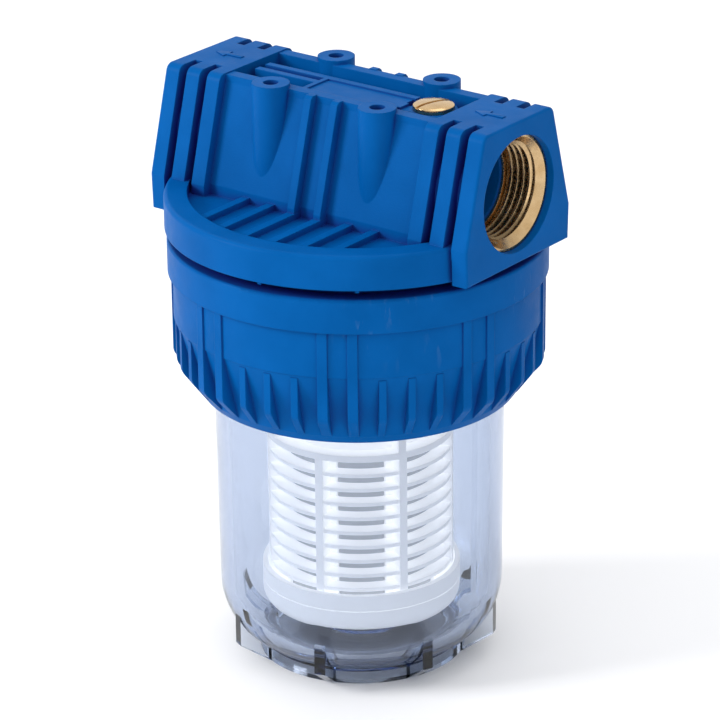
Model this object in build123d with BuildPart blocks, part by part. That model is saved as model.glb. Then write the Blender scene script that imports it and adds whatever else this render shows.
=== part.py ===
from build123d import *
import os
from math import cos, radians, sin

# Garden pump filter: a moulded head with two 1 inch brass ports, a ribbed
# union nut, a clear bowl and a washable slotted cartridge.
# Millimetres. Z is up, X runs along the ports, and the origin is at the
# bottom centre of the bowl's foot.

os.makedirs("parts", exist_ok=True)

# How far shapes that are joined run into each other
overlap = 1.0

# Head, seen along the ports
half_length = 63.35
block_top_z = 196.1
bend_z = 161.0
block_top_half = 18.45
block_bend_half = 28.15
outer_plate_foot_half = 27.75
outer_plate_foot_z = 149.1
top_edge_r = 3.0
end_edge_r = 0.8

# Head, the three plates of each end block and the two slots between them
outer_plate_x = 57.7
block_inner_x = 40.8
slot_width = 3.1
slot_centres = (47.6, 56.0)
slot_inner_y = 10.7
port_z = 172.1
port_wall_r = 20.9

# Head, the wall between the blocks and its two fins
rim_top_z = 195.7
wall_top_half = 15.8
band_z = 193.4
wall_bend_half = 24.9
fin_x = 5.2
fin_width = 2.8
fin_top_z = 195.9
fin_shoulder_z = 195.0
fin_shoulder_half = 18.6
fin_tip_half = 17.6
fin_inner_half = 15.4

# Head, flange and skirt
flange_r = 62.5
flange_bottom_z = 149.7
rim_inner_r = 54.9
seat_z = 157.5
rim_edge_r = 1.5
floor_rib_count = 6
floor_rib_pitch = 2 * fin_x
floor_rib_width = 3.0
floor_rib_height = 2.0
nub_count = 12
nub_size = 1.3
nub_r = 60.2
nub_angle = -53.0
skirt_r = 53.9
skirt_bore_r = 48.4
skirt_bottom_z = 115.3
ceiling_z = 153.5
chamber_r = 45.0

# Head, top face
boss_x = 21.2
boss_y = 17.1
boss_r = 6.1
boss_top_z = 197.1
boss_root_z = 160.0
boss_hole_r = 2.5
boss_hole_depth = 12.0
rim_wall_y = 11.6
web_inner_y = 1.4
web_outer_y = 3.9
web_end_x = 38.2
web_drop = 0.7
cross_wall_x = 14.0
cross_wall_width = 1.7
plateau_drop = 1.2
pocket_depth = 7.0
vent_x = 30.5
vent_seat_z = 193.7
vent_seat_start_x = 22.5
vent_boss_r = 7.6
vent_hole_r = 4.05
vent_hole_depth = 6.2
vent_drill_r = 1.5
notch_start_x = 21.5
notch_length = 6.0
notch_width = 3.6
notch_places_y = (-0.4, -8.6)
end_notch_length = 3.0

# Water passages
bore_r = 14.0
insert_bore_r = 18.95
insert_end_x = 46.0
inlet_end_x = 19.0
inlet_drop_x = 40.0
inlet_drop_half = 10.0
outlet_end_x = 14.0
spigot_r = 15.0
spigot_bore_r = 12.0
spigot_bottom_z = 141.3

# Brass inserts, 1 inch parallel pipe thread
insert_face_x = 60.9
insert_r = 18.9
insert_mouth_r = 17.8
insert_thread_x = 57.4
thread_minor_r = 15.15
insert_groove_r = 17.6
insert_groove_x = 53.0
insert_groove_width = 3.0

# Vent screw and its ring
screw_head_r = 6.65
screw_edge_z = 195.2
screw_top_z = 196.1
shank_r = 4.0
shank_length = 5.6
slot_angle = 71.0
screw_slot_width = 1.3
screw_slot_depth = 1.2
seal_pocket_r = 6.4
seal_pocket_depth = 1.5
vent_ring_r = 5.1
vent_ring_section = 0.7

# Union nut
nut_top_z = 146.3
nut_top_r = 61.9
nut_band_z = 135.0
nut_band_r = 60.3
nut_cone_z = 119.4
nut_cone_r = 60.0
nut_lip_top_z = 97.2
nut_lip_top_r = 54.3
nut_lip_z = 94.2
nut_lip_r = 52.2
nut_bore_r = 55.6
nut_bore_z = 115.0
nut_seat_bore_r = 53.8
nut_seat_z = 107.3
nut_lip_bore_r = 48.6
nut_edge_r = 1.0
grip_count = 40
grip_width = 2.4
grip_r = 59.9
grip_top_z = 118.4
long_grip_width = 3.3
long_grip_r = 60.9
grip_foot_z = 97.4
grip_foot_r = 54.6
grip_corner_z = 104.5
grip_corner_r = 4.0
grip_root_r = 57.6
grip_inner_r = 51.5
grips_per_group = 5
long_grips_per_group = 2
grip_start_angle = -63.6

# Bowl
bowl_r = 47.9
bowl_low_r = 47.2
bowl_wall = 4.5
shoulder_r = 22.0
shoulder_z = 25.0
foot_r = 35.1
foot_inner_r = 31.0
neck_top_z = 122.0
bowl_flange_z = 107.5
bowl_flange_r = 53.4
bowl_flange_height = 4.0
bowl_lip_height = 1.0
bowl_lip_width = 0.8
web_count = 8
web_angle = -70.1
web_thickness = 3.7
web_r = 46.3
web_depth = 2.0
web_low_z = 8.0
web_top_z = 18.8
cup_ring_r = 15.0
cup_ring_bore_r = 12.0
ring_section_r = 1.75
ring_centre_r = 50.0

# Cartridge
base_z = 17.0
base_top_z = 31.5
base_r = 33.0
base_seam_z = 25.8
base_seam_depth = 0.35
base_corner_r = 5.5
base_floor = 3.0
base_bore_r = 31.2
cage_r = 30.9
fin_ring_r = 30.5
cage_bore_r = 24.4
cage_wall_r = 25.6
cage_bottom_z = 20.0
cage_top_z = 133.0
collar_low_z = 78.5
collar_high_z = 80.7
neck_high_z = 86.0
upper_collar_z = 88.2
ring_pitch = 5.1
ring_thickness = 1.2
low_ring_top_z = 33.3
low_ring_count = 9
high_ring_top_z = 93.1
high_ring_count = 8
cage_rib_count = 7
cage_rib_width = 2.6
cage_rib_angle = -52.2
window_half_angle = 17.5
window_margin = 3.0
neck_rib_count = 4
neck_rib_angle = -27.0
rib_root_r = 24.9
mesh_r = 24.3
mesh_thickness = 0.6
cap_top_z = 138.0
cap_r = 31.6
cap_skirt_r = 31.0
cap_skirt_height = 2.0
cap_edge_r = 1.5
cap_bore_r = 13.5
gasket_r = 22.0
gasket_bore_r = 11.0
gasket_thickness = 3.0


def block_outline(foot_z, foot_half):
    """Corner points of an end plate seen along the ports."""
    right = [(foot_half, foot_z), (block_bend_half, bend_z), (block_top_half, block_top_z)]
    left = [(-y, z) for y, z in reversed(right)]
    return right + left


def turned(angle):
    """The plane that holds the Z axis and the radius at this angle."""
    return Plane.XZ.rotated((0, 0, angle))


def top_corners(sketch):
    """The highest corners of a sketch."""
    return sketch.vertices().group_by(Axis.Y)[-1]


# The head: one moulding, with slotted end blocks, finned walls, flange and skirt
with BuildPart() as head:
    # Two inner plates of a block stand on the flange, the outer one runs past it
    with BuildSketch(Plane.YZ.offset(block_inner_x)) as inner_plates:
        with BuildLine():
            Polyline(*block_outline(seat_z, block_bend_half), close=True)
        make_face()
        fillet(top_corners(inner_plates), top_edge_r)
    extrude(amount=outer_plate_x - block_inner_x)
    with BuildSketch(Plane.YZ.offset(outer_plate_x)) as outer_plate:
        with BuildLine():
            Polyline(*block_outline(outer_plate_foot_z, outer_plate_foot_half), close=True)
        make_face()
        fillet(top_corners(outer_plate), top_edge_r)
    extrude(amount=half_length - outer_plate_x)
    fillet(head.faces().sort_by(Axis.X)[-1].outer_wire().edges(), end_edge_r)
    mirror(about=Plane.YZ)

    # Slots run in from both flanks and leave the middle of the top whole
    slot_reach = block_bend_half + overlap - slot_inner_y
    slot_mid_y = slot_inner_y + slot_reach / 2
    slot_places = [
        (end * x, side * slot_mid_y) for end in (-1, 1) for side in (-1, 1) for x in slot_centres
    ]
    with BuildSketch(Plane.XY.offset(block_top_z)):
        with Locations(*slot_places):
            Rectangle(slot_width, slot_reach)
    extrude(amount=seat_z - block_top_z, mode=Mode.SUBTRACT)

    # The round housing of the ports closes the slots on the inside
    with BuildSketch(Plane.YZ.offset(-outer_plate_x)):
        with Locations((0, port_z)):
            Circle(port_wall_r)
        with Locations((0, seat_z)):
            Rectangle(
                2 * port_wall_r, 2 * port_wall_r, align=(Align.CENTER, Align.MIN), mode=Mode.INTERSECT
            )
    extrude(amount=2 * outer_plate_x)

    # The wall between the blocks stands back from their flanks
    wall_side = [(wall_bend_half, seat_z), (wall_bend_half, bend_z)]
    wall_side += [(wall_top_half, band_z), (wall_top_half, rim_top_z)]
    with BuildSketch(Plane.YZ.offset(-block_inner_x - overlap)):
        with BuildLine():
            Polyline(*wall_side, *[(-y, z) for y, z in reversed(wall_side)], close=True)
        make_face()
    extrude(amount=2 * (block_inner_x + overlap))

    # Flange with a raised rim, skirt for the union nut, ceiling and outlet spigot
    with BuildSketch(Plane.XZ) as flange_section:
        with BuildLine():
            Polyline(
                (0, seat_z),
                (rim_inner_r, seat_z),
                (rim_inner_r, bend_z),
                (flange_r, bend_z),
                (flange_r, flange_bottom_z),
                (skirt_r, flange_bottom_z),
                (skirt_r, skirt_bottom_z),
                (skirt_bore_r, skirt_bottom_z),
                (skirt_bore_r, flange_bottom_z),
                (chamber_r, ceiling_z),
                (spigot_r, ceiling_z),
                (spigot_r, spigot_bottom_z),
                (0, spigot_bottom_z),
                close=True,
            )
        make_face()
        rim_edge = flange_section.vertices().group_by(Axis.X)[-1].sort_by(Axis.Y)[-1]
        fillet(rim_edge, rim_edge_r)
    revolve(axis=Axis.Z)

    # Parallel ribs on the sunk floor between wall and rim
    with BuildSketch(Plane.XY.offset(seat_z)):
        with GridLocations(floor_rib_pitch, 0, floor_rib_count, 1):
            Rectangle(floor_rib_width, 2 * rim_inner_r)
        Circle(rim_inner_r + overlap, mode=Mode.INTERSECT)
    extrude(amount=floor_rib_height)

    # Two fins on each side, level with the plates of the blocks
    fin_side = [(block_bend_half, seat_z), (block_bend_half, bend_z)]
    fin_side += [(fin_shoulder_half, fin_shoulder_z), (fin_tip_half, fin_top_z)]
    fin_side += [(fin_inner_half, fin_top_z), (fin_inner_half, band_z)]
    with BuildSketch(
        Plane.YZ.offset(fin_x - fin_width / 2), Plane.YZ.offset(-fin_x - fin_width / 2)
    ):
        with BuildLine():
            Polyline(*fin_side, *[(-y, z) for y, z in reversed(fin_side)], close=True)
        make_face()
    extrude(amount=fin_width)

    # Sunk areas of the top face: web tops, then the plateau, then the screw seat
    with BuildSketch(Plane.XY.offset(rim_top_z)):
        with Locations((-block_inner_x, -rim_wall_y)):
            Rectangle(
                block_inner_x + vent_seat_start_x, rim_wall_y + web_outer_y, align=(Align.MIN, Align.MIN)
            )
    extrude(amount=-web_drop, mode=Mode.SUBTRACT)
    with BuildSketch(Plane.XY.offset(rim_top_z)):
        with Locations((cross_wall_width - cross_wall_x, -rim_wall_y)):
            Rectangle(
                vent_seat_start_x + cross_wall_x - cross_wall_width,
                rim_wall_y + web_inner_y,
                align=(Align.MIN, Align.MIN),
            )
    extrude(amount=-plateau_drop, mode=Mode.SUBTRACT)
    with BuildSketch(Plane.XY.offset(rim_top_z)):
        with Locations((vent_seat_start_x, -rim_wall_y)):
            Rectangle(
                block_inner_x - vent_seat_start_x, rim_wall_y + web_outer_y, align=(Align.MIN, Align.MIN)
            )
    extrude(amount=vent_seat_z - rim_top_z, mode=Mode.SUBTRACT)

    # Deep pockets: back trench, gaps round the webs, notches by the vent screw
    with BuildSketch(Plane.XY.offset(rim_top_z)):
        with Locations((0, (web_outer_y + rim_wall_y) / 2)):
            Rectangle(2 * block_inner_x, rim_wall_y - web_outer_y)
        with Locations((-block_inner_x, -rim_wall_y)):
            Rectangle(
                block_inner_x - cross_wall_x, rim_wall_y - web_outer_y, align=(Align.MIN, Align.MIN)
            )
        with Locations((-block_inner_x, 0)):
            Rectangle(block_inner_x - cross_wall_x, 2 * web_inner_y, align=(Align.MIN, Align.CENTER))
            Rectangle(block_inner_x - web_end_x, 2 * web_outer_y, align=(Align.MIN, Align.CENTER))
        with Locations(*[(notch_start_x, y) for y in notch_places_y]):
            Rectangle(notch_length, notch_width, align=(Align.MIN, Align.CENTER))
        with Locations((block_inner_x, 0)):
            Rectangle(end_notch_length, 2 * web_outer_y, align=(Align.MAX, Align.CENTER))
    extrude(amount=-pocket_depth, mode=Mode.SUBTRACT)

    # Boss of the vent screw and the four bosses of the wall bracket
    with BuildSketch(Plane.XY.offset(rim_top_z - pocket_depth)):
        with Locations((vent_x, 0)):
            Circle(vent_boss_r)
    extrude(amount=vent_seat_z - rim_top_z + pocket_depth)
    with BuildSketch(Plane.XY.offset(boss_root_z)):
        with GridLocations(2 * boss_x, 2 * boss_y, 2, 2):
            Circle(boss_r)
    extrude(amount=boss_top_z - boss_root_z)

    # Small stops under the flange
    with BuildSketch(Plane.XY.offset(flange_bottom_z)):
        with PolarLocations(nub_r, nub_count, start_angle=nub_angle):
            Rectangle(nub_size, nub_size)
    extrude(amount=-nub_size)

    # Inlet on the right opens to the space round the cartridge
    with BuildSketch(Plane.YZ.offset(inlet_end_x)):
        with Locations((0, port_z)):
            Circle(bore_r)
    extrude(amount=insert_end_x - inlet_end_x, mode=Mode.SUBTRACT)
    with BuildSketch(Plane.XY.offset(port_z)):
        with Locations(((inlet_end_x + inlet_drop_x) / 2, 0)):
            Rectangle(inlet_drop_x - inlet_end_x, 2 * inlet_drop_half)
    extrude(amount=ceiling_z - port_z - overlap, mode=Mode.SUBTRACT)

    # Outlet on the left opens to the middle of the cartridge
    with BuildSketch(Plane.YZ.offset(-insert_end_x)):
        with Locations((0, port_z)):
            Circle(bore_r)
    extrude(amount=insert_end_x + outlet_end_x, mode=Mode.SUBTRACT)
    with BuildSketch(Plane.XY.offset(spigot_bottom_z)):
        Circle(spigot_bore_r)
    extrude(amount=port_z - spigot_bottom_z, mode=Mode.SUBTRACT)

    # Pockets of the brass inserts
    with BuildSketch(Plane.YZ.offset(insert_end_x), Plane.YZ.offset(-half_length)):
        with Locations((0, port_z)):
            Circle(insert_bore_r)
    extrude(amount=half_length - insert_end_x, mode=Mode.SUBTRACT)

    # Screw holes
    with Locations((vent_x, 0, vent_seat_z)):
        CounterBoreHole(vent_hole_r, seal_pocket_r, seal_pocket_depth, vent_hole_depth)
        Hole(vent_drill_r, depth=vent_seat_z - port_z)
    with Locations((0, 0, boss_top_z)):
        with GridLocations(2 * boss_x, 2 * boss_y, 2, 2):
            Hole(boss_hole_r, depth=boss_hole_depth)

head.part.label = "head"
export_step(head.part, "parts/head.step")

# The brass inserts: a chamfered mouth, the thread bore and a groove that holds them
groove_start_x = insert_groove_x - insert_groove_width / 2
groove_end_x = insert_groove_x + insert_groove_width / 2
with BuildPart() as inlet_insert:
    with BuildSketch(Plane.XZ):
        with BuildLine():
            Polyline(
                (insert_end_x, port_z + thread_minor_r),
                (insert_thread_x, port_z + thread_minor_r),
                (insert_face_x, port_z + insert_mouth_r),
                (insert_face_x, port_z + insert_r),
                (groove_end_x, port_z + insert_r),
                (groove_end_x, port_z + insert_groove_r),
                (groove_start_x, port_z + insert_groove_r),
                (groove_start_x, port_z + insert_r),
                (insert_end_x, port_z + insert_r),
                close=True,
            )
        make_face()
    revolve(axis=Axis((0, 0, port_z), (1, 0, 0)))

inlet_insert.part.label = "inlet_insert"
export_step(inlet_insert.part, "parts/inlet_insert.step")

with BuildPart() as outlet_insert:
    add(inlet_insert.part.rotate(Axis.Z, 180))

outlet_insert.part.label = "outlet_insert"
export_step(outlet_insert.part, "parts/outlet_insert.step")

# The vent screw: a low domed head with a slot, and a short shank
with BuildPart() as vent_screw:
    shank_end_z = vent_seat_z - shank_length
    with BuildSketch(Plane.XZ) as screw_section:
        with BuildLine():
            Polyline(
                (0, screw_top_z),
                (0, shank_end_z),
                (shank_r, shank_end_z),
                (shank_r, vent_seat_z),
                (screw_head_r, vent_seat_z),
                (screw_head_r, screw_edge_z),
            )
            TangentArc((0, screw_top_z), (screw_head_r, screw_edge_z), tangent=(1, 0))
        make_face()
    revolve(axis=Axis.Z)
    with BuildSketch(Plane.XY.offset(screw_top_z)):
        Rectangle(2 * (screw_head_r + overlap), screw_slot_width, rotation=slot_angle)
    extrude(amount=-screw_slot_depth, mode=Mode.SUBTRACT)

vent_screw.part.locate(Location((vent_x, 0, 0)))
vent_screw.part.label = "vent_screw"
export_step(vent_screw.part, "parts/vent_screw.step")

# The ring that seals the vent screw
with BuildPart() as vent_seal:
    with BuildSketch(Plane.XZ):
        with Locations((vent_ring_r, vent_seat_z - vent_ring_section)):
            Circle(vent_ring_section)
    revolve(axis=Axis.Z)

vent_seal.part.locate(Location((vent_x, 0, 0)))
vent_seal.part.label = "vent_seal"
export_step(vent_seal.part, "parts/vent_seal.step")

# The union nut: smooth top band, waisted middle band and a cone with grip ribs
with BuildPart() as collar:
    with BuildSketch(Plane.XZ) as nut_section:
        with BuildLine():
            Polyline(
                (nut_bore_r, nut_top_z),
                (nut_top_r, nut_top_z),
                (nut_top_r, nut_band_z),
                (nut_band_r, nut_band_z),
                (nut_band_r, nut_cone_z),
                (nut_cone_r, nut_cone_z),
                (nut_lip_top_r, nut_lip_top_z),
                (nut_lip_r, nut_lip_z),
                (nut_lip_bore_r, nut_lip_z),
                (nut_lip_bore_r, nut_seat_z),
                (nut_seat_bore_r, nut_seat_z),
                (nut_seat_bore_r, nut_bore_z - nut_edge_r),
                (nut_bore_r, nut_bore_z),
                close=True,
            )
        make_face()
        fillet(nut_section.vertices().group_by(Axis.X)[-1].sort_by(Axis.Y)[-1], nut_edge_r)
    revolve(axis=Axis.Z)
    grip_angles = [grip_start_angle + 360 / grip_count * i for i in range(grip_count)]
    long_angles = [
        angle for i, angle in enumerate(grip_angles) if i % grips_per_group < long_grips_per_group
    ]
    short_angles = [angle for angle in grip_angles if angle not in long_angles]
    for angles, width, reach, high_z in (
        (long_angles, long_grip_width, long_grip_r, nut_band_z),
        (short_angles, grip_width, grip_r, grip_top_z),
    ):
        with BuildSketch(*[turned(angle) for angle in angles]):
            with BuildLine():
                FilletPolyline(
                    (grip_foot_r, grip_foot_z),
                    (reach, grip_corner_z),
                    (reach, high_z),
                    radius=grip_corner_r,
                )
                Polyline(
                    (reach, high_z),
                    (grip_root_r, high_z),
                    (grip_root_r, nut_bore_z),
                    (grip_inner_r, grip_foot_z),
                    (grip_foot_r, grip_foot_z),
                )
            make_face()
        extrude(amount=width / 2, both=True)

collar.part.label = "collar"
export_step(collar.part, "parts/collar.step")

# The bowl: a clear moulding with a rounded shoulder, a foot ring and eight webs
shoulder_centre_r = bowl_low_r - shoulder_r
inner_shoulder_r = shoulder_r - bowl_wall
floor_z = shoulder_z - inner_shoulder_r
foot_top_z = shoulder_z - (shoulder_r**2 - (foot_r - shoulder_centre_r) ** 2) ** 0.5
flange_top_z = bowl_flange_z + bowl_flange_height
diagonal = sin(radians(45))
with BuildPart() as bowl:
    with BuildSketch(Plane.XZ):
        with BuildLine():
            Polyline(
                (0, shoulder_z - shoulder_r),
                (foot_inner_r, shoulder_z - shoulder_r),
                (foot_inner_r, 0),
                (foot_r, 0),
                (foot_r, foot_top_z),
            )
            ThreePointArc(
                (foot_r, foot_top_z),
                (
                    shoulder_centre_r + shoulder_r * cos(radians(-30)),
                    shoulder_z + shoulder_r * sin(radians(-30)),
                ),
                (bowl_low_r, shoulder_z),
            )
            Polyline(
                (bowl_low_r, shoulder_z),
                (bowl_r, bowl_flange_z),
                (bowl_flange_r, bowl_flange_z),
                (bowl_flange_r, flange_top_z + bowl_lip_height),
                (bowl_flange_r - bowl_lip_width, flange_top_z + bowl_lip_height),
                (bowl_flange_r - bowl_lip_width, flange_top_z),
                (bowl_r, flange_top_z),
                (bowl_r, neck_top_z),
                (bowl_r - bowl_wall, neck_top_z),
                (bowl_low_r - bowl_wall, shoulder_z),
            )
            ThreePointArc(
                (bowl_low_r - bowl_wall, shoulder_z),
                (
                    shoulder_centre_r + inner_shoulder_r * diagonal,
                    shoulder_z - inner_shoulder_r * diagonal,
                ),
                (shoulder_centre_r, floor_z),
            )
            Polyline(
                (shoulder_centre_r, floor_z),
                (cup_ring_r, floor_z),
                (cup_ring_r, base_z - gasket_thickness),
                (cup_ring_bore_r, base_z - gasket_thickness),
                (cup_ring_bore_r, floor_z),
                (0, floor_z),
                (0, shoulder_z - shoulder_r),
            )
        make_face()
    revolve(axis=Axis.Z)
    # Webs from the foot ring up to the shoulder
    web_planes = [turned(web_angle + 360 / web_count * i) for i in range(web_count)]
    with BuildSketch(*web_planes):
        with BuildLine():
            Polyline(
                (foot_r - overlap, 0),
                (foot_r, 0),
                (web_r, web_low_z),
                (web_r, web_top_z),
                (web_r - web_depth, web_top_z),
                (foot_r - overlap, web_low_z - overlap),
                close=True,
            )
        make_face()
    extrude(amount=web_thickness / 2, both=True)

bowl.part.label = "bowl"
export_step(bowl.part, "parts/bowl.step")

# The ring that seals the bowl against the skirt
with BuildPart() as bowl_seal:
    with BuildSketch(Plane.XZ):
        with Locations((ring_centre_r, flange_top_z + ring_section_r)):
            Circle(ring_section_r)
    revolve(axis=Axis.Z)

bowl_seal.part.label = "bowl_seal"
export_step(bowl_seal.part, "parts/bowl_seal.step")

# The cartridge's base cup, with a seam line round it
with BuildPart() as cartridge_base:
    with BuildSketch(Plane.XZ) as base_section:
        with BuildLine():
            Polyline(
                (cup_ring_bore_r, base_z),
                (base_r, base_z),
                (base_r, base_seam_z),
                (base_r - base_seam_depth, base_seam_z),
                (base_r - base_seam_depth, base_seam_z + base_seam_depth),
                (base_r, base_seam_z + base_seam_depth),
                (base_r, base_top_z),
                (base_bore_r, base_top_z),
                (base_bore_r, base_z + base_floor),
                (cup_ring_bore_r, base_z + base_floor),
                close=True,
            )
        make_face()
        base_corner = base_section.vertices().group_by(Axis.X)[-1].sort_by(Axis.Y)[0]
        fillet(base_corner, base_corner_r)
    revolve(axis=Axis.Z)
    # A low plug closes the bottom of the cartridge
    with BuildSketch(Plane.XY.offset(base_z)):
        Circle(cup_ring_bore_r)
    extrude(amount=base_floor)

cartridge_base.part.label = "cartridge_base"
export_step(cartridge_base.part, "parts/cartridge_base.step")

# The cage: a windowed tube with ring fins, standing ribs and a plain waist
with BuildPart() as cartridge_cage:
    with BuildSketch(Plane.XZ):
        for low, high, reach in (
            (cage_bottom_z, cage_top_z, cage_wall_r),
            (cage_bottom_z, cage_bottom_z + ring_thickness, cage_r),
            (collar_low_z, collar_high_z, cage_r),
            (neck_high_z, upper_collar_z, cage_r),
            (cage_top_z - ring_thickness, cage_top_z, cage_r),
        ):
            with Locations((cage_bore_r, low)):
                Rectangle(reach - cage_bore_r, high - low, align=(Align.MIN, Align.MIN))
        for first, count in ((low_ring_top_z, low_ring_count), (high_ring_top_z, high_ring_count)):
            for i in range(count):
                with Locations((cage_bore_r, first + i * ring_pitch)):
                    Rectangle(fin_ring_r - cage_bore_r, ring_thickness, align=(Align.MIN, Align.MAX))
    revolve(axis=Axis.Z)
    # Standing ribs join the fins
    rib_step = 360 / cage_rib_count
    rib_planes = [turned(cage_rib_angle + rib_step * (i + 0.5)) for i in range(cage_rib_count)]
    with BuildSketch(*rib_planes):
        for low, high in ((cage_bottom_z, collar_high_z), (neck_high_z, cage_top_z)):
            with Locations((rib_root_r, low)):
                Rectangle(cage_r - rib_root_r, high - low, align=(Align.MIN, Align.MIN))
    extrude(amount=cage_rib_width / 2, both=True)
    # Wider ribs cross the waist
    waist_step = 360 / neck_rib_count
    waist_planes = [turned(neck_rib_angle + waist_step * i) for i in range(neck_rib_count)]
    with BuildSketch(*waist_planes):
        with Locations((rib_root_r, collar_low_z)):
            Rectangle(cage_r - rib_root_r, upper_collar_z - collar_low_z, align=(Align.MIN, Align.MIN))
    extrude(amount=cage_rib_width / 2, both=True)
    # Windows through the tube behind the fins
    low_windows = (cage_bottom_z + ring_thickness, collar_low_z)
    high_windows = (upper_collar_z, cage_top_z - window_margin)
    for low, high in (low_windows, high_windows):
        with BuildSketch(Plane.XY.offset(low)):
            for i in range(cage_rib_count):
                middle = cage_rib_angle + rib_step * i
                with BuildLine():
                    edge_angles = (middle - window_half_angle, middle, middle + window_half_angle)
                    edge = [
                        (cage_wall_r * cos(radians(a)), cage_wall_r * sin(radians(a))) for a in edge_angles
                    ]
                    Polyline((0, 0), edge[0])
                    ThreePointArc(*edge)
                    Polyline(edge[2], (0, 0))
                make_face()
        extrude(amount=high - low, mode=Mode.SUBTRACT)

cartridge_cage.part.label = "cartridge_cage"
export_step(cartridge_cage.part, "parts/cartridge_cage.step")

# The mesh sleeve inside the cage
with BuildPart() as mesh_sleeve:
    with BuildSketch(Plane.XY.offset(cage_bottom_z)):
        Circle(mesh_r)
        Circle(mesh_r - mesh_thickness, mode=Mode.SUBTRACT)
    extrude(amount=cage_top_z - cage_bottom_z)

mesh_sleeve.part.label = "mesh_sleeve"
export_step(mesh_sleeve.part, "parts/mesh_sleeve.step")

# The cartridge's top cap
with BuildPart() as cartridge_cap:
    with BuildSketch(Plane.XZ) as cap_section:
        with BuildLine():
            Polyline(
                (cap_bore_r, cage_top_z),
                (cap_skirt_r, cage_top_z),
                (cap_skirt_r, cage_top_z - cap_skirt_height),
                (cap_r, cage_top_z - cap_skirt_height),
                (cap_r, cap_top_z),
                (cap_bore_r, cap_top_z),
                close=True,
            )
        make_face()
        fillet(cap_section.vertices().group_by(Axis.X)[-1].sort_by(Axis.Y)[-1], cap_edge_r)
    revolve(axis=Axis.Z)

cartridge_cap.part.label = "cartridge_cap"
export_step(cartridge_cap.part, "parts/cartridge_cap.step")

# Flat gaskets at both ends of the cartridge
with BuildPart() as top_gasket:
    with BuildSketch(Plane.XY.offset(cap_top_z)):
        Circle(gasket_r)
        Circle(gasket_bore_r, mode=Mode.SUBTRACT)
    extrude(amount=gasket_thickness)

top_gasket.part.label = "top_gasket"
export_step(top_gasket.part, "parts/top_gasket.step")

with BuildPart() as base_gasket:
    with BuildSketch(Plane.XY.offset(base_z - gasket_thickness)):
        Circle(gasket_r)
        Circle(gasket_bore_r, mode=Mode.SUBTRACT)
    extrude(amount=gasket_thickness)

base_gasket.part.label = "base_gasket"
export_step(base_gasket.part, "parts/base_gasket.step")
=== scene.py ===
# %% [markdown]
# # A garden pump filter
#
# The real thing is a blue moulded head with two brass ports, a ribbed union nut,
# a clear bowl and a white slotted cartridge. The solids come from CAD as a fixed
# frame, and this lesson gives them their looks. What CAD left out, such as the
# threads in the ports, is modelled here in place, in metres, and rides on the
# body that carries it.

# %% Load the frame
import math

import bmesh
import bpy
from mathutils import Matrix, Vector


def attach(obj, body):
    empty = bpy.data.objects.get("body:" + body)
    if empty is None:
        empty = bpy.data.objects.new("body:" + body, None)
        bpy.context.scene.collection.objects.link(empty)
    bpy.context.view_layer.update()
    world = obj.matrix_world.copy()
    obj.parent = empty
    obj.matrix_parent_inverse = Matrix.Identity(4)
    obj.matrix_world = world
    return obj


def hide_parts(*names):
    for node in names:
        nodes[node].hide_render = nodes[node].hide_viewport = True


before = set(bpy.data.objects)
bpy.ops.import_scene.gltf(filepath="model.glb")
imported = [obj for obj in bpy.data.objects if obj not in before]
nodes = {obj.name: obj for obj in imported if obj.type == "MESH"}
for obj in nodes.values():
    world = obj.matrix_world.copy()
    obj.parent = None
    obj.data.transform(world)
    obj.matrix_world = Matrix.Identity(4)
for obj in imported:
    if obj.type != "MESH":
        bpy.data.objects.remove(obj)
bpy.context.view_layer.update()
print("CAD nodes:", ", ".join(sorted(nodes)))

# %% [markdown]
# ## Camera
#
# The picture was taken from the right and a little above, from far away with a
# long lens, so upright edges stay nearly parallel. The camera is placed by two
# angles and a distance, and leans by half a degree as the photograph does.

# %% Place the camera
MM = 0.001
CAMERA_TURN = math.radians(37.427)
CAMERA_HEIGHT = math.radians(22.546)
CAMERA_LEAN = math.radians(-0.60)
CAMERA_DISTANCE = 1226.78 * MM
TARGET_HEIGHT = 95.76 * MM
SIDE_STEP, RISE_STEP = -0.185 * MM, -4.73 * MM

back = Vector((
    math.sin(CAMERA_TURN) * math.cos(CAMERA_HEIGHT),
    -math.cos(CAMERA_TURN) * math.cos(CAMERA_HEIGHT),
    math.sin(CAMERA_HEIGHT),
))
level = Vector((math.cos(CAMERA_TURN), math.sin(CAMERA_TURN), 0))
rise = back.cross(level)
camera_x = level * math.cos(CAMERA_LEAN) + rise * math.sin(CAMERA_LEAN)
camera_y = rise * math.cos(CAMERA_LEAN) - level * math.sin(CAMERA_LEAN)
camera_place = Vector((0, 0, TARGET_HEIGHT)) + back * CAMERA_DISTANCE
camera_place -= camera_x * SIDE_STEP + camera_y * RISE_STEP

camera_data = bpy.data.cameras.new("photo_camera")
camera_data.sensor_width = 36
camera_data.lens = 186.66
camera = bpy.data.objects.new("photo_camera", camera_data)
bpy.context.scene.collection.objects.link(camera)
camera.matrix_world = Matrix((camera_x, camera_y, back)).transposed().to_4x4()
camera.location = camera_place
bpy.context.scene.camera = camera
print("camera at", [round(c, 3) for c in camera_place])

# %% [markdown]
# ## Light and floor
#
# A product picture on white has soft lights and hardly any shadow. Here a white
# world fills in from all sides. Its walls at the left and right are much darker,
# so that the clear bowl gets edges. One lamp at the left lights the long flank,
# one above lights the tops, and one at the right lights the end with the port.

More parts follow.
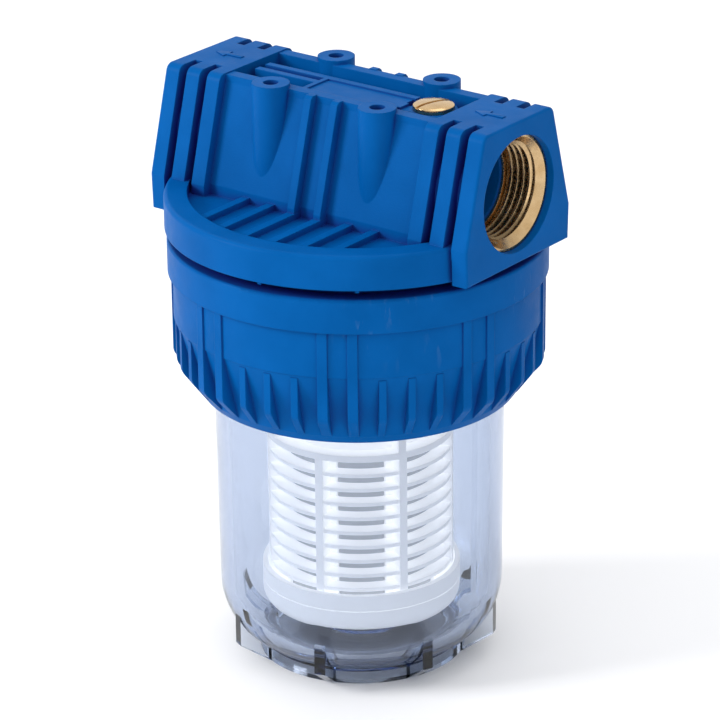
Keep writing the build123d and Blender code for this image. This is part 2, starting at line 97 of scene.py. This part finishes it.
# %% Set up the studio
LAMPS = {  # name: (place, (width, height), power), in metres and watts
    "left_lamp": ((-0.75, -0.85, 0.65), (0.4, 0.4), 11.0),
    "top_lamp": ((0.05, 0.25, 1.1), (0.5, 0.5), 1.3),
    "right_lamp": ((1.0, -0.1, 0.35), (0.3, 0.7), 0.8),
}
LAMP_AIM = Vector((0, 0, 110 * MM))
WORLD_STRENGTH = 1.12
SIDE_SHARE = 0.3  # how bright the left and right walls are beside the front
SIDE_TINT = (0.94, 0.97, 1.0)
SIDE_START, SIDE_FULL = 0.5, 0.9  # how far sideways a wall begins, and is darkest


def soft_lamp(name, place, size, power):
    """Adds a rectangular lamp that faces the middle of the filter."""
    data = bpy.data.lights.new(name, "AREA")
    data.shape = "RECTANGLE"
    data.size, data.size_y = size
    data.energy = power
    lamp = bpy.data.objects.new(name, data)
    bpy.context.scene.collection.objects.link(lamp)
    lamp.location = place
    aim = LAMP_AIM - Vector(place)
    lamp.rotation_euler = aim.to_track_quat("-Z", "Y").to_euler()


for lamp_name, (lamp_place, lamp_size, lamp_power) in LAMPS.items():
    soft_lamp(lamp_name, lamp_place, lamp_size, lamp_power)

world = bpy.data.worlds.new("white_room")
bpy.context.scene.world = world
world.use_nodes = True
room = world.node_tree
direction = room.nodes.new("ShaderNodeTexCoord")
sideways = room.nodes.new("ShaderNodeVectorMath")
sideways.operation = "DOT_PRODUCT"
sideways.inputs[1].default_value = level
away = room.nodes.new("ShaderNodeMath")
away.operation = "ABSOLUTE"
wall = room.nodes.new("ShaderNodeValToRGB")
front_stop, side_stop = wall.color_ramp.elements
front_stop.position, front_stop.color = SIDE_START, (1, 1, 1, 1)
side_stop.position = SIDE_FULL
side_stop.color = (*(SIDE_SHARE * share for share in SIDE_TINT), 1)
room.links.new(direction.outputs["Generated"], sideways.inputs[0])
room.links.new(sideways.outputs["Value"], away.inputs[0])
room.links.new(away.outputs[0], wall.inputs["Fac"])
room.links.new(wall.outputs["Color"], room.nodes["Background"].inputs["Color"])
room.nodes["Background"].inputs["Strength"].default_value = WORLD_STRENGTH
bpy.context.scene.view_settings.view_transform = "Standard"

# %% Lay the floor
FLOOR_SIZE, FLOOR_DROP = 12, 0.2 * MM
FLOOR_COLOUR = (0.95, 0.95, 0.96, 1)
bpy.ops.object.select_all(action="DESELECT")
bpy.ops.mesh.primitive_plane_add(size=FLOOR_SIZE, location=(0, 0, -FLOOR_DROP))
floor = bpy.context.object
floor.name = "floor"
floor_paint = bpy.data.materials.new("floor_paint")
floor_paint.use_nodes = True
floor_shader = floor_paint.node_tree.nodes["Principled BSDF"]
floor_shader.inputs["Base Color"].default_value = FLOOR_COLOUR
floor_shader.inputs["Roughness"].default_value = 0.9
floor_shader.inputs["Specular IOR Level"].default_value = 0.2
floor.data.materials.append(floor_paint)
print("floor:", FLOOR_SIZE, "m square")

# %% [markdown]
# ## Materials
#
# Every finish is built from nodes. A small set of helpers keeps the node code
# short: one adds a node, one makes a noise that reads Object coordinates, and one
# turns a height into a bump. The blue, the white and the brass also get a Bevel
# node, which rounds their CAD edges in the shading, as on the real parts.

# %% Helpers for materials
def new_finish(name):
    """A material with only its shader and output: (material, tree, shader)."""
    material = bpy.data.materials.new(name)
    material.use_nodes = True
    tree = material.node_tree
    return material, tree, tree.nodes["Principled BSDF"]


def add_node(tree, kind, **values):
    """A node with some of its inputs or settings filled in."""
    node = tree.nodes.new(kind)
    for key, value in values.items():
        if key in node.inputs:
            node.inputs[key].default_value = value
        else:
            setattr(node, key, value)
    return node


def noise(tree, scale, detail=2.0, stretch=(1, 1, 1), turn=0.0):
    """A noise on Object coordinates; scale is in lumps per metre."""
    place = add_node(tree, "ShaderNodeTexCoord")
    mapping = add_node(tree, "ShaderNodeMapping", Scale=stretch, Rotation=(0, turn, 0))
    texture = add_node(tree, "ShaderNodeTexNoise", Scale=scale, Detail=detail)
    tree.links.new(place.outputs["Object"], mapping.inputs["Vector"])
    tree.links.new(mapping.outputs["Vector"], texture.inputs["Vector"])
    return texture.outputs["Fac"]


def ramp(tree, source, stops):
    """A colour ramp from (position, colour) pairs, fed by source."""
    node = add_node(tree, "ShaderNodeValToRGB")
    points = node.color_ramp.elements
    while len(points) < len(stops):
        points.new(1.0)
    for point, (position, colour) in zip(points, stops):
        if not isinstance(colour, tuple):
            colour = (colour,) * 3
        point.position, point.color = position, (*colour, 1)
    tree.links.new(source, node.inputs["Fac"])
    return node.outputs["Color"]


def mixed(tree, factor, first, second, blend="MIX"):
    """Mixes two colours; each is a socket or a plain colour."""
    node = add_node(tree, "ShaderNodeMix", data_type="RGBA", blend_type=blend)
    sockets = node.inputs[0], node.inputs[6], node.inputs[7]  # factor, A and B
    for socket, value in zip(sockets, (factor, first, second)):
        if isinstance(value, bpy.types.NodeSocket):
            tree.links.new(value, socket)
        elif isinstance(value, tuple):
            socket.default_value = (*value, 1)
        else:
            socket.default_value = value
    return node.outputs[2]


def sums(tree, operation, first, second=0.0):
    """A Math node; each value is a socket or a number."""
    node = add_node(tree, "ShaderNodeMath", operation=operation)
    for socket, value in zip(node.inputs, (first, second)):
        if isinstance(value, bpy.types.NodeSocket):
            tree.links.new(value, socket)
        else:
            socket.default_value = value
    return node.outputs[0]


def object_axes(tree):
    """The three Object coordinates as sockets."""
    place = add_node(tree, "ShaderNodeTexCoord")
    split = add_node(tree, "ShaderNodeSeparateXYZ")
    tree.links.new(place.outputs["Object"], split.inputs["Vector"])
    return split.outputs["X"], split.outputs["Y"], split.outputs["Z"]


def hollows(tree, reach, stops):
    """How deep in a groove the surface is, as a grey from the ramp's stops."""
    shade = add_node(tree, "ShaderNodeAmbientOcclusion", samples=12, Distance=reach)
    return ramp(tree, shade.outputs["AO"], stops)


def bump(tree, shader, height, depth, edge=0.0):
    """Feeds a height in metres to the shader's normal, over rounded edges."""
    node = add_node(tree, "ShaderNodeBump", Distance=depth, Strength=1.0)
    tree.links.new(height, node.inputs["Height"])
    if edge:
        rounded = add_node(tree, "ShaderNodeBevel", samples=6, Radius=edge)
        tree.links.new(rounded.outputs["Normal"], node.inputs["Normal"])
    tree.links.new(node.outputs["Normal"], shader.inputs["Normal"])


# %% [markdown]
# The blue is a moulded polypropylene: satin, a little uneven, and scuffed on the
# nut's smooth band. A violet shade is painted into its colour deep in its
# grooves, standing in for the light that bounces between blue walls. Ambient
# Occlusion finds those grooves without asking where the camera is.

# %% Blue moulded plastic
DEEP_BLUE, FULL_BLUE = (0.0002, 0.078, 0.285), (0.0010, 0.092, 0.330)
# the groove colour is a painted shade for deep grooves; the scuff colour is real wear
PAINTED_GROOVE_SHADE, SCUFF_BLUE = (0.010, 0.014, 0.17), (0.05, 0.15, 0.36)
BAND_FOOT, BAND_FULL = 0.118, 0.135  # heights of the nut's smooth band, in metres
SCUFF_SLANT = math.radians(35)


def moulded_blue(name, scuffed=False):
    """The satin blue of the head and the nut."""
    material, tree, shader = new_finish(name)
    clouds = noise(tree, 60, 4)
    tone = ramp(tree, clouds, [(0.3, DEEP_BLUE), (0.7, FULL_BLUE)])
    if scuffed:
        height = object_axes(tree)[2]
        band = ramp(tree, height, [(BAND_FOOT, 0.0), (BAND_FULL, 1.0)])
        streaks = noise(tree, 230, 6, (1.6, 1.6, 0.5), turn=SCUFF_SLANT)
        patches = ramp(tree, noise(tree, 38, 2), [(0.48, 0.0), (0.6, 1.0)])
        worn = ramp(tree, streaks, [(0.6, 0.0), (0.7, 0.45)])
        worn_band = mixed(tree, 1.0, band, worn, "MULTIPLY")
        wear = mixed(tree, 1.0, worn_band, patches, "MULTIPLY")
        tone = mixed(tree, wear, tone, SCUFF_BLUE)
    # painted shade: the blue turns violet where Ambient Occlusion finds a groove
    depth = hollows(tree, 6 * MM, [(0.2, 1.0), (0.75, 0.0)])
    tone = mixed(tree, depth, tone, PAINTED_GROOVE_SHADE)
    tree.links.new(tone, shader.inputs["Base Color"])
    gloss = ramp(tree, noise(tree, 160, 3), [(0.3, 0.34), (0.7, 0.46)])
    tree.links.new(gloss, shader.inputs["Roughness"])
    shader.inputs["Specular IOR Level"].default_value = 0.022
    bump(tree, shader, noise(tree, 1400, 3), 0.00004, edge=0.5 * MM)
    return material


HEAD_BLUE = moulded_blue("moulded_blue_head")
NUT_BLUE = moulded_blue("moulded_blue_nut", scuffed=True)
print("finishes:", HEAD_BLUE.name, NUT_BLUE.name)

# %% [markdown]
# Brass is a metal, so its colour is the colour of its reflections. Its gloss
# varies finely from place to place, and the hollows of a thread hold a brown film
# where no tool or hand polishes them. The white plastic is milky, and a painted
# glow is added to it: an emission that lifts its shade inside the bowl.

# %% Brass and white plastic
DULL_BRASS, BRIGHT_BRASS = (0.50, 0.33, 0.16), (0.62, 0.44, 0.24)
BROWN_FILM = (0.50, 0.31, 0.16)
WHITE_SHADE, WHITE_FULL = (0.93, 0.935, 0.945), (0.965, 0.965, 0.97)
# painted glow: the emission strength that brightens the white plastic, and the mesh
# more weakly
PAINTED_GLOW = 0.36  # stands in for the light that comes through milky plastic
PAINTED_GLOW_TINT = (1, 0.97, 0.92, 1)


def turned_brass(name):
    """Bright brass, finely grained, with a brown film in its hollows."""
    material, tree, shader = new_finish(name)
    tone = ramp(tree, noise(tree, 220, 3), [(0.3, DULL_BRASS), (0.7, BRIGHT_BRASS)])
    film = hollows(tree, 2.0 * MM, [(0.1, 0.9), (0.5, 0.0)])
    tone = mixed(tree, film, tone, BROWN_FILM)
    tree.links.new(tone, shader.inputs["Base Color"])
    shader.inputs["Metallic"].default_value = 1.0
    gloss = ramp(tree, noise(tree, 900, 2), [(0.3, 0.17), (0.7, 0.32)])
    tree.links.new(gloss, shader.inputs["Roughness"])
    bump(tree, shader, noise(tree, 2600, 2), 0.00001, edge=0.12 * MM)
    return material


def white_moulding(name):
    """The cartridge's white polypropylene, slightly milky, with a painted glow."""
    material, tree, shader = new_finish(name)
    tone = ramp(tree, noise(tree, 90, 3), [(0.3, WHITE_SHADE), (0.7, WHITE_FULL)])
    tree.links.new(tone, shader.inputs["Base Color"])
    shader.inputs["Roughness"].default_value = 0.42
    shader.inputs["Subsurface Weight"].default_value = 0.1
    shader.inputs["Subsurface Radius"].default_value = (2 * MM, 2 * MM, 2 * MM)
    # painted glow: an emission that lifts the cartridge's shade inside the bowl
    shader.inputs["Emission Color"].default_value = PAINTED_GLOW_TINT
    shader.inputs["Emission Strength"].default_value = PAINTED_GLOW
    bump(tree, shader, noise(tree, 1500, 2), 0.00002, edge=0.25 * MM)
    return material


BRASS = turned_brass("turned_brass")
WHITE = white_moulding("white_moulding")
print("finishes:", BRASS.name, WHITE.name)

# %% [markdown]
# The clear bowl is a bright solid whose inside takes a little red out of the
# light, so its edges, where one looks through more of it, turn blue. That is a
# volume, with one constant colour. The sleeve's mesh is woven from two sine waves,
# one round the sleeve and one along it, and the seals are plain dusty rubber.

# %% Clear plastic, mesh and rubber
CLEAR_SHADE, CLEAR_FULL = (0.97, 0.98, 0.99), (0.99, 0.995, 1.0)
PASSED_COLOUR, INNER_DENSITY = (0.18, 0.34, 0.60, 1), 88.0
SLEEVE_R, WIRES_PER_METRE = 24.3 * MM, 1250.0
WIRE_SHADE, WIRE_FULL = (0.24, 0.26, 0.29), (0.56, 0.58, 0.62)
# the mesh glow colour is a painted glow; the haze is the wire cloth's own uneven tone
MESH_HAZE, MESH_PAINTED_GLOW = (0.42, 0.44, 0.48), (0.9, 0.94, 1, 1)
BLACK_RUBBER, DUSTY_RUBBER = (0.012, 0.012, 0.013), (0.03, 0.03, 0.032)


def clear_moulding(name):
    """The bowl's clear plastic, bluer where one looks through more of it."""
    material, tree, shader = new_finish(name)
    tone = ramp(tree, noise(tree, 45, 3), [(0.3, CLEAR_SHADE), (0.7, CLEAR_FULL)])
    tree.links.new(tone, shader.inputs["Base Color"])
    shader.inputs["Transmission Weight"].default_value = 1.0
    shader.inputs["Roughness"].default_value = 0.0
    shader.inputs["IOR"].default_value = 1.49
    bump(tree, shader, noise(tree, 38, 2, (1, 1, 0.5)), 0.00015)
    inside = add_node(
        tree, "ShaderNodeVolumeAbsorption", Color=PASSED_COLOUR, Density=INNER_DENSITY
    )
    output = tree.nodes["Material Output"]
    tree.links.new(inside.outputs["Volume"], output.inputs["Volume"])
    return material


def woven_mesh(name):
    """Fine stainless wire cloth: wires run round and along the sleeve, with a weak
    painted glow.
    """
    material, tree, shader = new_finish(name)
    x, y, z = object_axes(tree)
    waves = WIRES_PER_METRE * math.tau
    around = sums(tree, "MULTIPLY", sums(tree, "ARCTAN2", y, x), SLEEVE_R * waves)
    along = sums(tree, "MULTIPLY", z, waves)
    waves_round, waves_along = sums(tree, "SINE", around), sums(tree, "SINE", along)
    crossing = sums(tree, "MULTIPLY", waves_round, waves_along)
    weave = sums(tree, "MULTIPLY_ADD", crossing, 0.5)  # from -1 to 1, to 0 to 1
    weave.node.inputs[2].default_value = 0.5
    wire = ramp(tree, weave, [(0.3, WIRE_SHADE), (0.7, WIRE_FULL)])
    haze = ramp(tree, noise(tree, 120, 3), [(0.35, 0.0), (0.65, 0.35)])
    tone = mixed(tree, haze, wire, MESH_HAZE)
    tree.links.new(tone, shader.inputs["Base Color"])
    shader.inputs["Metallic"].default_value = 0.15
    shader.inputs["Roughness"].default_value = 0.45
    # painted glow: a weak emission that lifts the mesh's shade inside the bowl
    shader.inputs["Emission Color"].default_value = MESH_PAINTED_GLOW
    shader.inputs["Emission Strength"].default_value = PAINTED_GLOW * 0.3
    bump(tree, shader, weave, 0.0001)
    return material


def soft_rubber(name):
    """Black rubber with a dusty bloom."""
    material, tree, shader = new_finish(name)
    tone = ramp(tree, noise(tree, 300, 3), [(0.3, BLACK_RUBBER), (0.7, DUSTY_RUBBER)])
    tree.links.new(tone, shader.inputs["Base Color"])
    shader.inputs["Roughness"].default_value = 0.6
    bump(tree, shader, noise(tree, 2000, 2), 0.00003)
    return material


CLEAR = clear_moulding("clear_moulding")
MESH = woven_mesh("woven_mesh")
RUBBER = soft_rubber("soft_rubber")
print("finishes:", CLEAR.name, MESH.name, RUBBER.name)

# %% Give each CAD node its finish
NODE_FINISH = {
    "head": HEAD_BLUE,
    "collar": NUT_BLUE,
    "inlet_insert": BRASS,
    "outlet_insert": BRASS,
    "vent_screw": BRASS,
    "vent_seal": RUBBER,
    "bowl_seal": RUBBER,
    "top_gasket": RUBBER,
    "base_gasket": RUBBER,
    "bowl": CLEAR,
    "cartridge_base": WHITE,
    "cartridge_cage": WHITE,
    "cartridge_cap": WHITE,
    "mesh_sleeve": MESH,
}
for node_name, finish in NODE_FINISH.items():
    nodes[node_name].material_slots[0].material = finish
print("finished nodes:", len(NODE_FINISH))

# %% [markdown]
# ## Turning by extrusion
#
# Many pieces here come off a lathe or out of a round mould. They could be drawn as
# a curve and spun, but there is a more direct way that shows every step: lay a
# circle at the first height, then extrude it to the next height and resize it to
# the next radius, ring by ring. A solid piece starts and ends with a filled disc.
# A ring starts open, and its last loop is bridged back to its first.

# %% Helpers for modelling
def settle(piece, name):
    """Names a piece and moves its place and turn into its mesh."""
    piece.name = piece.data.name = name
    bpy.ops.object.transform_apply(location=True, rotation=True, scale=True)
    return piece


def deselect_objects():
    """Nothing stays selected, so the next operator acts only on its own piece."""
    bpy.ops.object.select_all(action="DESELECT")


def take_up(piece):
    """Makes the piece the only selected object, and the active one."""
    deselect_objects()
    piece.select_set(True)
    bpy.context.view_layer.objects.active = piece


def pick_verts(piece, wanted):
    """In edit mode, selects the vertices whose place answers wanted."""
    bpy.ops.mesh.select_mode(type="VERT")
    bpy.ops.mesh.select_all(action="DESELECT")
    shape = bmesh.from_edit_mesh(piece.data)
    for vert in shape.verts:
        if wanted(vert.co):
            vert.select_set(True)
    shape.select_flush_mode()
    bmesh.update_edit_mesh(piece.data)


def pick_edges(piece, wanted):
    """In edit mode, selects the edges whose middle answers wanted."""
    bpy.ops.mesh.select_mode(type="EDGE")
    bpy.ops.mesh.select_all(action="DESELECT")
    shape = bmesh.from_edit_mesh(piece.data)
    for edge in shape.edges:
        if wanted((edge.verts[0].co + edge.verts[1].co) / 2):
            edge.select_set(True)
    shape.select_flush_mode()
    bmesh.update_edit_mesh(piece.data)


def turned_piece(name, outline, solid, centre=(0, 0), steps=96):
    """Turns (height, radius) stations, in millimetres, round an upright axis."""
    deselect_objects()
    (height, radius), *stations = outline
    bpy.ops.mesh.primitive_circle_add(
        vertices=steps,
        radius=radius * MM,
        fill_type="NGON" if solid else "NOTHING",
        location=(centre[0] * MM, centre[1] * MM, height * MM),
    )
    piece = settle(bpy.context.object, name)
    bpy.ops.object.mode_set(mode="EDIT")
    bpy.ops.mesh.select_all(action="SELECT")
    for next_height, next_radius in stations:
        up = (0, 0, (next_height - height) * MM)
        bpy.ops.mesh.extrude_region_move(TRANSFORM_OT_translate={"value": up})
        grow = next_radius / radius
        bpy.ops.transform.resize(
            value=(grow, grow, 1),
            center_override=(centre[0] * MM, centre[1] * MM, next_height * MM),
        )
        height, radius = next_height, next_radius
    if not solid:
        bpy.ops.mesh.select_mode(type="EDGE")
        bpy.ops.mesh.select_all(action="DESELECT")
        bpy.ops.mesh.select_non_manifold()
        bpy.ops.mesh.bridge_edge_loops()
    bpy.ops.mesh.select_all(action="SELECT")
    bpy.ops.mesh.normals_make_consistent(inside=False)
    bpy.ops.object.mode_set(mode="OBJECT")
    return piece


def cut_with(piece, cutter):
    """Takes the cutter's shape out of the piece and throws the cutter away."""
    take_up(piece)
    cut = piece.modifiers.new("cut", "BOOLEAN")
    cut.operation, cut.solver, cut.object = "DIFFERENCE", "EXACT", cutter
    bpy.ops.object.modifier_apply(modifier=cut.name)
    bpy.data.objects.remove(cutter, do_unlink=True)


def rounded(piece, width, angle):
    """Bevels the edges that are sharper than the angle, in two steps."""
    take_up(piece)
    bevel = piece.modifiers.new("edges", "BEVEL")
    bevel.width, bevel.segments = width * MM, 2
    bevel.limit_method, bevel.angle_limit = "ANGLE", math.radians(angle)
    bpy.ops.object.modifier_apply(modifier=bevel.name)


def smooth_shaded(piece):
    """Smooth shading, with edges that are sharper than 30 degrees kept crisp."""
    take_up(piece)
    bpy.ops.object.shade_smooth_by_angle(angle=math.radians(30))


COIL_STEPS = 72  # straight runs in one turn of a coil
END_SLACK = 0.01  # a coil's end is found by its place, with this much to spare


def coil(name, foot, crest, pitch, start, turns):
    """A closed helix round the upright axis; foot and crest are (radius, width)."""
    deselect_objects()
    (foot_r, foot_width), (crest_r, crest_width) = foot, crest
    middle_r = (foot_r + crest_r) / 2 * MM
    bpy.ops.mesh.primitive_plane_add(
        size=1, location=(middle_r, 0, start * MM), rotation=(math.pi / 2, 0, 0)
    )
    bpy.context.object.scale = ((crest_r - foot_r) * MM, foot_width * MM, 1)
    piece = settle(bpy.context.object, name)
    bpy.ops.object.mode_set(mode="EDIT")
    pick_verts(piece, lambda v: v.x > middle_r)
    bpy.ops.transform.resize(
        value=(1, 1, crest_width / foot_width),
        center_override=(crest_r * MM, 0, start * MM),
    )
    bpy.ops.mesh.select_all(action="SELECT")
    bpy.ops.mesh.delete(type="ONLY_FACE")
    bpy.ops.object.mode_set(mode="OBJECT")
    screw = piece.modifiers.new("screw", "SCREW")
    screw.axis, screw.angle, screw.screw_offset = "Z", math.tau, pitch * MM
    screw.iterations = turns
    screw.steps = screw.render_steps = COIL_STEPS
    bpy.ops.object.modifier_apply(modifier=screw.name)
    bpy.ops.object.mode_set(mode="EDIT")
    for end in (start, start + pitch * turns):
        low = (end - foot_width / 2 - END_SLACK) * MM
        high = (end + foot_width / 2 + END_SLACK) * MM
        pick_verts(
            piece, lambda v: low < v.z < high and abs(v.y) < 0.001 * MM and v.x > 0
        )
        bpy.ops.mesh.edge_face_add()
    bpy.ops.mesh.select_all(action="SELECT")
    bpy.ops.mesh.normals_make_consistent(inside=False)
    bpy.ops.object.mode_set(mode="OBJECT")
    return piece


# %% [markdown]
# ## Threaded port inserts
#
# Each port is a brass ring with a 1 inch parallel pipe thread inside, pressed into
# the plastic. A thread could be faked with a bump, but here one looks straight
# into it, so it is cut as on a lathe: a long coil with the groove's shape is taken
# out of the ring. The ring is made upright and then laid on its side. The outlet
# is a second ring, turned to face the other way.

# %% Turn the inlet ring and cut its thread
PITCH = 2.309
THREAD_MINOR_R, THREAD_MAJOR_R = 15.15, 16.62
GROOVE_MOUTH, GROOVE_ROOT = 1.95, 0.35
PORT_HEIGHT = 172.1
INSERT_START, INSERT_FACE = 46.0, 60.9
INSERT_R, MOUTH_R, CHAMFER_START = 18.9, 17.8, 57.4
RELIEF_R, RELIEF_START, RELIEF_END = 16.75, 46.9, 48.6
RELIEF_RISE, RELIEF_FALL = 0.4, 0.8  # lengths of the slopes beside the relief
GRIP_R, GRIP_START, GRIP_END = 17.6, 51.5, 54.5  # the plastic grips this groove
EDGE, LIP = 0.15, 0.12  # the broken outer edge, and the one at the mouth
THREAD_TURNS, THREAD_LEAD = 6, 0.6  # the cutter starts this far inside the relief
RUN_PAST = 0.3  # how far the cutter stands inside the bore

insert_outline = [
    (INSERT_START, THREAD_MINOR_R),
    (RELIEF_START, THREAD_MINOR_R),
    (RELIEF_START + RELIEF_RISE, RELIEF_R),
    (RELIEF_END, RELIEF_R),
    (RELIEF_END + RELIEF_FALL, THREAD_MINOR_R),
    (CHAMFER_START, THREAD_MINOR_R),
    (INSERT_FACE - EDGE, MOUTH_R),
    (INSERT_FACE, MOUTH_R + LIP),
    (INSERT_FACE, INSERT_R - EDGE),
    (INSERT_FACE - EDGE, INSERT_R),
    (GRIP_END, INSERT_R),
    (GRIP_END, GRIP_R),
    (GRIP_START, GRIP_R),
    (GRIP_START, INSERT_R),
    (INSERT_START, INSERT_R),
]
inlet_ring = turned_piece("inlet_ring", insert_outline, solid=False)
flank = (GROOVE_MOUTH - GROOVE_ROOT) / (THREAD_MAJOR_R - THREAD_MINOR_R)
groove_foot = (THREAD_MINOR_R - RUN_PAST, GROOVE_MOUTH + flank * RUN_PAST)
groove_root = (THREAD_MAJOR_R, GROOVE_ROOT)
thread_start = RELIEF_END - THREAD_LEAD
thread_groove = coil(
    "thread_groove", groove_foot, groove_root, PITCH, thread_start, THREAD_TURNS
)
cut_with(inlet_ring, thread_groove)
print("inlet ring faces:", len(inlet_ring.data.polygons))

# %% Lay the rings in their ports
def lay_in_port(ring, way):
    """Turns an upright ring to face along +X or -X at the ports' height."""
    take_up(ring)
    ring.rotation_euler = (0, math.radians(90) * way, 0)
    ring.location = (0, 0, PORT_HEIGHT * MM)
    bpy.ops.object.transform_apply(location=True, rotation=True, scale=True)
    smooth_shaded(ring)
    ring.data.materials.append(BRASS)
    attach(ring, "head")


outlet_ring = inlet_ring.copy()
outlet_ring.data = inlet_ring.data.copy()
outlet_ring.name = outlet_ring.data.name = "outlet_ring"
bpy.context.scene.collection.objects.link(outlet_ring)
lay_in_port(inlet_ring, 1)
lay_in_port(outlet_ring, -1)
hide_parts("inlet_insert")
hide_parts("outlet_insert")
ring_start = min(v.co.x for v in inlet_ring.data.vertices)
print("inlet ring from x =", round(ring_start / MM, 2), "mm")

# %% [markdown]
# ## Vent screw
#
# The little brass screw lets air out of the filter. Its head has a flat seat, a
# short upright edge and a domed top that is polished by turning, with one slot for
# a screwdriver. It is turned from stations like the rings, and a plain bar takes
# out the slot. A last narrow bevel gives each edge the bright line of the real one.

# %% Turn the vent screw and cut its slot
VENT_X = 30.5
SHANK_FOOT, SHANK_FOOT_R, SHANK_R = 188.1, 3.4, 4.0
HEAD_FOOT, HEAD_RIM, HEAD_R = 193.7, 194.85, 6.65
SLOT_WIDTH, SLOT_FLOOR, SLOT_ANGLE = 1.3, 194.9, 71
SLOT_LENGTH, SLOT_HEIGHT = 16, 4  # the bar that cuts it stands out all round
SCREW_EDGE = 0.1
screw_outline = [
    (SHANK_FOOT, SHANK_FOOT_R),
    (SHANK_FOOT + 0.5, SHANK_R),
    (HEAD_FOOT, SHANK_R),
    (HEAD_FOOT, HEAD_R),
    (HEAD_RIM, HEAD_R),
]
dome_outline = [
    (195.15, 6.55),
    (195.42, 6.2),
    (195.7, 5.3),
    (195.93, 3.8),
    (196.05, 2.2),
    (196.1, 0.8),
]
head_screw = turned_piece(
    "head_screw", screw_outline + dome_outline, solid=True, centre=(VENT_X, 0), steps=64
)
deselect_objects()
bpy.ops.mesh.primitive_cube_add(
    size=1,
    location=(VENT_X * MM, 0, (SLOT_FLOOR + SLOT_HEIGHT / 2) * MM),
    rotation=(0, 0, math.radians(SLOT_ANGLE)),
    scale=(SLOT_LENGTH * MM, SLOT_WIDTH * MM, SLOT_HEIGHT * MM),
)
slot_bar = settle(bpy.context.object, "slot_bar")
cut_with(head_screw, slot_bar)
rounded(head_screw, SCREW_EDGE, angle=40)
smooth_shaded(head_screw)
head_screw.data.materials.append(BRASS)
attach(head_screw, "vent_screw")
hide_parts("vent_screw")
screw_top = max(v.co.z for v in head_screw.data.vertices)
print("screw top at", round(screw_top / MM, 2), "mm")

# %% [markdown]
# ## Flow marks
#
# A raised mark on each end block shows which way the water flows. A plain arrow
# says it: a bar whose end edge is pulled out, flared and drawn nearly to a point.
# The flat shape is then lifted by 0.28 mm and its rim bevelled.

# %% Raise an arrow on each block
BLOCK_TOP = 196.1
ARROW_X, ARROW_LENGTH, ARROW_WIDTH, ARROW_LIFT = 52, 11.0, 5.2, 0.28
SHAFT_SHARE, SHAFT_WIDTH = 0.55, 2.0  # the shaft's share of the length, its width
ARROW_SINK, ARROW_EDGE, TIP_SHARE = 0.1, 0.12, 0.08


def flow_arrow(name, x):
    """A flat arrow that points to -X, raised from the block's top."""
    deselect_objects()
    shaft_length = ARROW_LENGTH * SHAFT_SHARE
    middle_x = x + (ARROW_LENGTH - shaft_length) / 2
    base_z = (BLOCK_TOP - ARROW_SINK) * MM
    bpy.ops.mesh.primitive_plane_add(size=1, location=(middle_x * MM, 0, base_z))
    bpy.context.object.scale = (shaft_length * MM, SHAFT_WIDTH * MM, 1)
    arrow = settle(bpy.context.object, name)
    neck_x = (x + ARROW_LENGTH / 2 - shaft_length) * MM
    centre = (neck_x, 0, base_z)
    bpy.ops.object.mode_set(mode="EDIT")
    pick_edges(arrow, lambda e: e.x < neck_x + 0.01 * MM)
    bpy.ops.mesh.extrude_region_move(TRANSFORM_OT_translate={"value": (0, 0, 0)})
    flare = ARROW_WIDTH / SHAFT_WIDTH
    bpy.ops.transform.resize(value=(1, flare, 1), center_override=centre)
    tip = -(ARROW_LENGTH - shaft_length) * MM
    bpy.ops.mesh.extrude_region_move(TRANSFORM_OT_translate={"value": (tip, 0, 0)})
    bpy.ops.transform.resize(value=(1, TIP_SHARE, 1), center_override=centre)
    bpy.ops.mesh.select_all(action="SELECT")
    bpy.ops.mesh.remove_doubles(threshold=0.001 * MM)
    bpy.ops.mesh.dissolve_limited(angle_limit=math.radians(1))
    bpy.ops.mesh.select_all(action="SELECT")
    up = (0, 0, (ARROW_LIFT + ARROW_SINK) * MM)
    bpy.ops.mesh.extrude_region_move(TRANSFORM_OT_translate={"value": up})
    bpy.ops.mesh.select_all(action="SELECT")
    bpy.ops.mesh.normals_make_consistent(inside=False)
    bpy.ops.object.mode_set(mode="OBJECT")
    rounded(arrow, ARROW_EDGE, angle=30)
    smooth_shaded(arrow)
    arrow.data.materials.append(HEAD_BLUE)
    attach(arrow, "head")
    return arrow


flow_arrows = [
    flow_arrow("flow_arrow_right", ARROW_X),
    flow_arrow("flow_arrow_left", -ARROW_X),
]
print("arrows:", [len(a.data.polygons) for a in flow_arrows])
